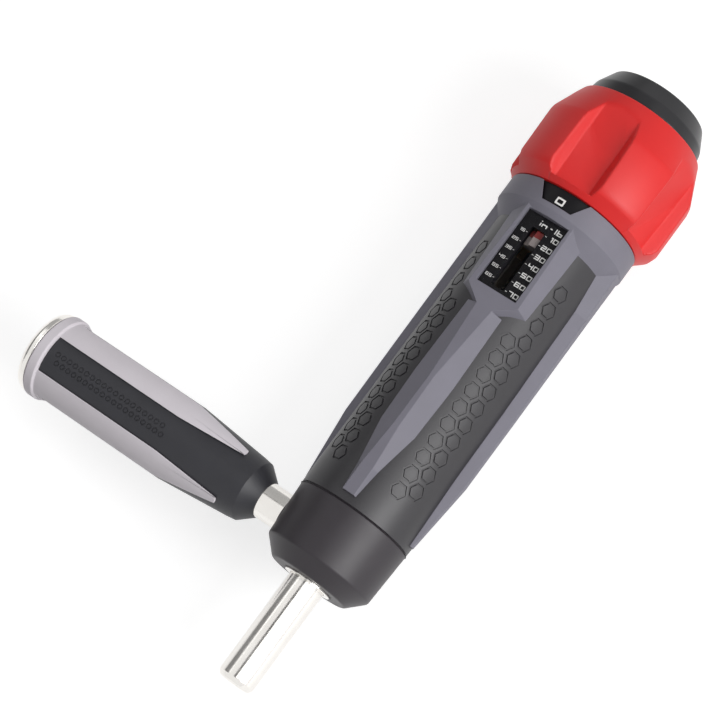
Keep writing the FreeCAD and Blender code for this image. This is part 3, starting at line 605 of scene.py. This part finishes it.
pane = shown("pane", block((-6.75, 131.05, plate_top + 0.1), (6.75, 157.25, 19.5)))
rounded(pane, 0.2)
acrylic = Finish("clear_acrylic", tone(40, 41, 44), 0.06, Alpha=0.04, Specular_IOR_Level=0.1)
acrylic.gloss(acrylic.cloud(4.0) * 0.06 + 0.04)
acrylic.relief(acrylic.cloud(2.5), 0.004)
acrylic.on(pane)
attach(pane, "grip")
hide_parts("scale_window")

# --- Dial ring ------------------------------------------------------------------------------------
# A black ring turns with the knob inside the rim. Its ten figures are printed round it and show one
# at a time in the notch.

dial_radius = 20.45
dial = shown("dial", turned([
    (15.4, 161.3), (dial_radius, 161.3), (dial_radius, 166.7), (15.4, 166.7)], 128))
rounded(dial, 0.2)
printed_black.on(dial)
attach(dial, "setting_knob")
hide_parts("dial_ring")

dial_work = bmesh.new()
for figure in range(10):
    mesh = lettered(str(figure), 1.4, 163.0, 2.2, wide=1.27, weight=0.24)
    for corner in mesh.vertices:
        across, along, out = corner.co
        angle = across / (dial_radius * mm) + math.radians(36 * figure)
        reach = dial_radius * mm + out
        corner.co = (reach * math.sin(angle), along, reach * math.cos(angle))
    added(dial_work, mesh)
bmesh.ops.remove_doubles(dial_work, verts=dial_work.verts, dist=0.0005 * mm)
dial_print = shown("dial_print", dial_work)
white_ink.on(dial_print)
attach(dial_print, "setting_knob")

# --- Setting knob ---------------------------------------------------------------------------------
# A red moulding with five round lobes, five sloping flutes for the fingers and a recess for the lock
# cap. It is clamped to the lead screw's hexagon.

knob_base = 166.7
knob_rim = 200.6
belly = [(21.6, knob_base), (25.2, 170.1), (26.0, 172.2), (26.1, 187.4), (25.8, 189.2), (20.8, knob_rim)]
flute_half = 5.8
flute_start = 168.5
wall_lean = 0.88
edge_round = 0.32
floor_low = 21.2
floor_rise = 0.0514
ring_step = 0.4
hub_clear = 19.0


def along_belly(station):
    """The lobes' radius at a station."""
    for (low, start), (high, end) in zip(belly, belly[1:]):
        if station <= end:
            return low + (high - low) * (station - start) / (end - start)
    return belly[-1][0]


def soft_least(first, second, width):
    """The lesser of two lengths, with the corner between them rounded."""
    near = max(width - abs(first - second), 0.0)
    return min(first, second) - near * near / (4 * width)


def knob_radius(angle, station):
    """The lobes' radius, drawn in where one of the five flutes runs; its floor rises to the rim."""
    lobe = along_belly(station)
    if station < flute_start:
        return lobe
    turn = math.radians((math.degrees(angle) + 36) % 72 - 36)
    floor = floor_low + (station - flute_start) * floor_rise
    across = abs(math.sin(turn)) - wall_lean * math.cos(turn)
    wall = (flute_half - wall_lean * floor) / across if across < 0 else 2 * lobe
    return soft_least(lobe, -soft_least(-floor / math.cos(turn), -wall, edge_round), 2 * edge_round)


stations = [knob_base, 167.2, 167.8, flute_start - 0.05, flute_start + 0.1]
stations += [flute_start + 0.1 + ring_step * step for step in range(1, 80)] + [knob_rim]
knob_work = turned([(3.0, knob_base), (9.0, knob_base), (9.0, 178.0), (16.5, 178.0), (16.5, knob_base)]
                   + [(along_belly(station), station) for station in stations]
                   + [(16.8, knob_rim), (16.8, 183.0), (2.1, 183.0), (2.1, 178.0), (3.0, 178.0)], 480)
for corner in knob_work.verts:
    across, station, height = corner.co / mm
    reach = math.hypot(across, height)
    if reach > hub_clear:
        drawn = knob_radius(math.atan2(across, height), station) / reach
        corner.co = Vector((across * drawn, station, height * drawn)) * mm
knob = shown("knob_shell", knob_work)
rounded(knob, 0.25, corner=30.0, crease=30.0)
red_plastic = Finish("red_knob_plastic", tone(222, 38, 36), 0.4, Specular_IOR_Level=0.5)
flow = red_plastic.cloud(12.0, 3.0)
red_plastic.colour(red_plastic.mix(flow, tone(214, 28, 28), tone(228, 36, 34)))
red_plastic.gloss(flow * 0.1 + 0.42)
red_plastic.relief(red_plastic.cloud(0.3), 0.01)
red_plastic.on(knob)
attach(knob, "setting_knob")
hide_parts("knob")

# --- Lock cap -------------------------------------------------------------------------------------
# The black cap at the end clamps the knob when it is turned. Its skirt runs inside the knob.

cap = shown("cap", turned([
    (0, 200.9), (14.2, 200.9), (14.2, 190.0), (16.2, 190.0), (16.2, 200.9), (19.4, 200.9), (18.8, 204.6),
    (15.8, 210.4), (0, 210.4)], 160))
rounded(cap, 0.5, corner=12.0)
cap_plastic = Finish("black_cap_plastic", tone(34, 33, 36), 0.34, Specular_IOR_Level=0.35)
cap_haze = cap_plastic.cloud(7.0, 3.0)
cap_plastic.colour(cap_plastic.mix(cap_haze, tone(30, 30, 32), tone(40, 39, 42)))
cap_plastic.gloss(cap_haze * 0.12 + 0.28)
cap_plastic.relief(cap_plastic.cloud(0.3), 0.008)
cap_plastic.on(cap)
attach(cap, "lock")
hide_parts("lock_cap")

# --- Side handle: rod -----------------------------------------------------------------------------
# A plated steel rod runs through the side handle, and its threaded stud screws into the collar.

handle_roll = math.radians(-8)


def laid_on_handle(work):
    """Turns work made on the main axis on to the side handle's axis."""
    place = on_handle_axis @ Matrix.Rotation(handle_roll, 4, "Y")
    bmesh.ops.transform(work, matrix=place, verts=work.verts)
    return work


rod = shown("rod", laid_on_handle(turned([
    (0, 9.3), (3.15, 9.3), (3.95, 10.1), (3.95, 16.5), (5.7, 16.5), (5.7, 96.0), (0, 96.0)])))
rounded(rod, 0.25)
bright_nickel("nickel_along_rod", (1.0, 40.0, 40.0)).on(rod)
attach(rod, "side_handle")
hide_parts("side_rod")

# --- Side handle: inner grip ----------------------------------------------------------------------
# Black rubber is moulded round the rod. It shows at the nose and in the long insets between the
# grey fingers, where its skin has a fine pattern.

handle_core = shown("handle_core", turned([
    (5.7, 24.75), (6.0, 24.75), (9.6, 29.3), (10.0, 32.0), (12.3, 56.0), (12.3, 105.7), (6.0, 105.7),
    (6.0, 96.0), (5.7, 96.0)], 128))
scale_pitch = 2.2
first_scale_at = 58.6
row_turn = 5.6
scales = bmesh.new()
for side_angle in (0, 90, 180, 270):
    for index in range(19):
        for row in (-1, 1):
            scale_at = first_scale_at + scale_pitch * (index + 0.25 * row)
            hexagon_groove(scales, side_angle + row_turn * row, scale_at, 12.45, 1.35, 0.28)
bmesh.ops.recalc_face_normals(scales, faces=scales.faces)
carved(handle_core, scales)
handle_core.data.transform(on_handle_axis @ Matrix.Rotation(handle_roll, 4, "Y"))
rounded(handle_core, 0.05, corner=40.0, segments=1)
black_rubber = Finish("black_rubber", tone(38, 37, 42), 0.5)
scuff = black_rubber.cloud(6.0, 4.0)
black_rubber.colour(black_rubber.mix(scuff, tone(32, 32, 37), tone(45, 45, 51)))
black_rubber.gloss(scuff * 0.14 + 0.42)
black_rubber.relief(black_rubber.cloud(0.25), 0.012)
black_rubber.on(handle_core)
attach(handle_core, "side_handle")
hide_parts("side_grip_core")

# --- Side handle: fingers and flange --------------------------------------------------------------
# Light grey rubber is moulded over the black as four fingers that taper towards the nose and a
# flange that the end cap sits on.

handle_shell = turned([
    (9.9, 35.0), (10.9, 35.0), (12.9, 56.0), (12.9, 102.0), (13.6, 102.5), (13.6, 105.3), (13.3, 105.7),
    (11.8, 105.7), (11.8, 56.0)], 128)
handle_grip = shown("handle_grip", handle_shell)
carved(handle_grip, lofted([[(*corner, height) for corner in both_sides(
    [(7.4, 33.0), (7.3, 35.0), (5.75, 57.0), (5.75, 102.0)])] for height in (-30, 30)]))
carved(handle_grip, lofted([[(reach, along, across) for across, along in both_sides(
    [(6.3, 33.0), (4.0, 57.0), (4.0, 101.0)])] for reach in (-30, 30)]))
handle_grip.data.transform(on_handle_axis @ Matrix.Rotation(handle_roll, 4, "Y"))
rounded(handle_grip, 0.25, corner=22.0)
pale_rubber = Finish("pale_rubber", tone(228, 222, 228), 0.55, Specular_IOR_Level=0.35)
grime = pale_rubber.cloud(9.0, 4.0)
pale_rubber.colour(pale_rubber.mix(grime, tone(221, 215, 221), tone(234, 228, 234)))
pale_rubber.gloss(grime * 0.14 + 0.47)
pale_rubber.relief(pale_rubber.cloud(0.28), 0.012)
pale_rubber.on(handle_grip)
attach(handle_grip, "side_handle")
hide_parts("side_grip_overmould")

# --- Side handle: end cap -------------------------------------------------------------------------
# A domed steel cap, bright nickel plated, is pressed into the end of the handle.

button = shown("button", laid_on_handle(turned([
    (0, 97.0), (6.0, 97.0), (6.0, 105.7), (13.3, 105.7), (13.3, 107.4), (12.5, 108.6), (8.0, 109.8),
    (0, 109.8)], 128)))
rounded(button, 0.5, corner=12.0)
bright_nickel("nickel_on_button", (1.0, 1.0, 1.0)).on(button)
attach(button, "side_handle")
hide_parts("side_end_cap")

# --- Floor and surroundings -----------------------------------------------------------------------
# A plain pale floor lies under the tool. It is white to the camera, and to metal that mirrors it,
# and keeps the tool's soft shadow.


def seen_directly(finish):
    """1 for rays that see the surface straight, mirrored or through something clear."""
    path = finish.node("ShaderNodeLightPath", {}, {}).outputs
    seen = finish.sum("MAXIMUM", path["Is Camera Ray"], path["Is Glossy Ray"])
    return finish.sum("MAXIMUM", seen, path["Is Transmission Ray"])


floor_half = 3000.0
floor_glow = 0.72
floor_level = solid_box[0].z / mm
floor_work = bmesh.new()
bmesh.ops.create_grid(floor_work, x_segments=1, y_segments=1, size=floor_half * mm,
                      matrix=Matrix.Translation((0, 0, floor_level * mm)))
floor = shown("floor", floor_work)
floor_skin = Finish("pale_floor", (0.5, 0.5, 0.5), 0.8)
floor_skin.skin.inputs["Emission Color"].default_value = (1.0, 1.0, 1.0, 1.0)
floor_skin.feed(floor_skin.skin.inputs["Emission Strength"], seen_directly(floor_skin) * floor_glow)
floor_skin.on(floor)



class Surroundings(Finish):
    """The light and the colour that come from all round, made with a finish's nodes."""

    def __init__(self, world):
        world.use_nodes = True
        self.tree = world.node_tree
        self.sky = self.tree.nodes["Background"]


soft_light = 0.2
world = bpy.data.worlds.new("surroundings")
bpy.context.scene.world = world
air = Surroundings(world)
air.feed(air.sky.inputs["Color"], (1.0, 1.0, 1.0))
air.feed(air.sky.inputs["Strength"], seen_directly(air) * (1.0 - soft_light) + soft_light)

# --- Lamps ----------------------------------------------------------------------------------------
# Three soft boxes: the main one at the right of the nose, a weaker one at the left, and one above.


def soft_box(name, place, aim, width, power):
    """A square lamp that looks at a point."""
    lamp = bpy.data.lights.new(name, "AREA")
    lamp.shape = "SQUARE"
    lamp.size = width * mm
    lamp.energy = power
    holder = bpy.data.objects.new(name, lamp)
    holder.location = Vector(place) * mm
    holder.rotation_mode = "QUATERNION"
    holder.rotation_quaternion = (Vector(place) - Vector(aim)).to_track_quat("Z", "Y")
    bpy.context.scene.collection.objects.link(holder)


middle = (0, 110, 0)
soft_box("main_box", (620, 60, 420), middle, 420, 4.2)
soft_box("left_box", (-520, 260, 420), middle, 420, 0.45)
soft_box("top_box", (170, 300, 760), middle, 520, 1.3)

# --- Dark cards -----------------------------------------------------------------------------------
# Dark and grey cards stand at the left, behind and overhead. Only mirrors see them, so the plated
# steel shows bands as it does in a room, and nothing else changes.


def mirrored_card(name, low, high, grey):
    """A card between two corners, as bright as its grey, that only mirrors see."""
    skin = Finish(name, (0.01, 0.01, 0.01), 0.9, Emission_Color=(1.0, 1.0, 1.0, 1.0), Emission_Strength=grey)
    card = shown(name, block(low, high))
    card.visible_camera = False
    card.visible_diffuse = False
    card.visible_shadow = False
    skin.on(card)


mirrored_card("left_card", (-505, -400, 120), (-500, 900, 560), 0.2)
mirrored_card("overhead_card", (-60, -400, 700), (110, 900, 705), 0.02)
mirrored_card("far_card", (-600, 450, 0), (-100, 455, 950), 0.42)
mirrored_card("far_edge", (-600, 450, 950), (-100, 455, 1250), 0.05)

# --- Camera ---------------------------------------------------------------------------------------
# A long lens looks down on the tool from above its nose and a little to its right. It is rolled so
# that the tool lies across the picture with its knob up at the right.

eye = Vector((202.6, -35.6, 645.1)) * mm
sight = Vector((-27.2, 97.1, 0.0)) * mm
roll = math.radians(-25.2)
lens = bpy.data.cameras.new("camera")
lens.lens = 120.0
lens.sensor_width = 36.0
camera = bpy.data.objects.new("camera", lens)
camera.rotation_mode = "QUATERNION"
camera.rotation_quaternion = (eye - sight).to_track_quat("Z", "Y") @ Quaternion((0, 0, 1), roll)
camera.location = eye
bpy.context.scene.collection.objects.link(camera)
bpy.context.scene.camera = camera
bpy.context.scene.view_settings.view_transform = "Standard"
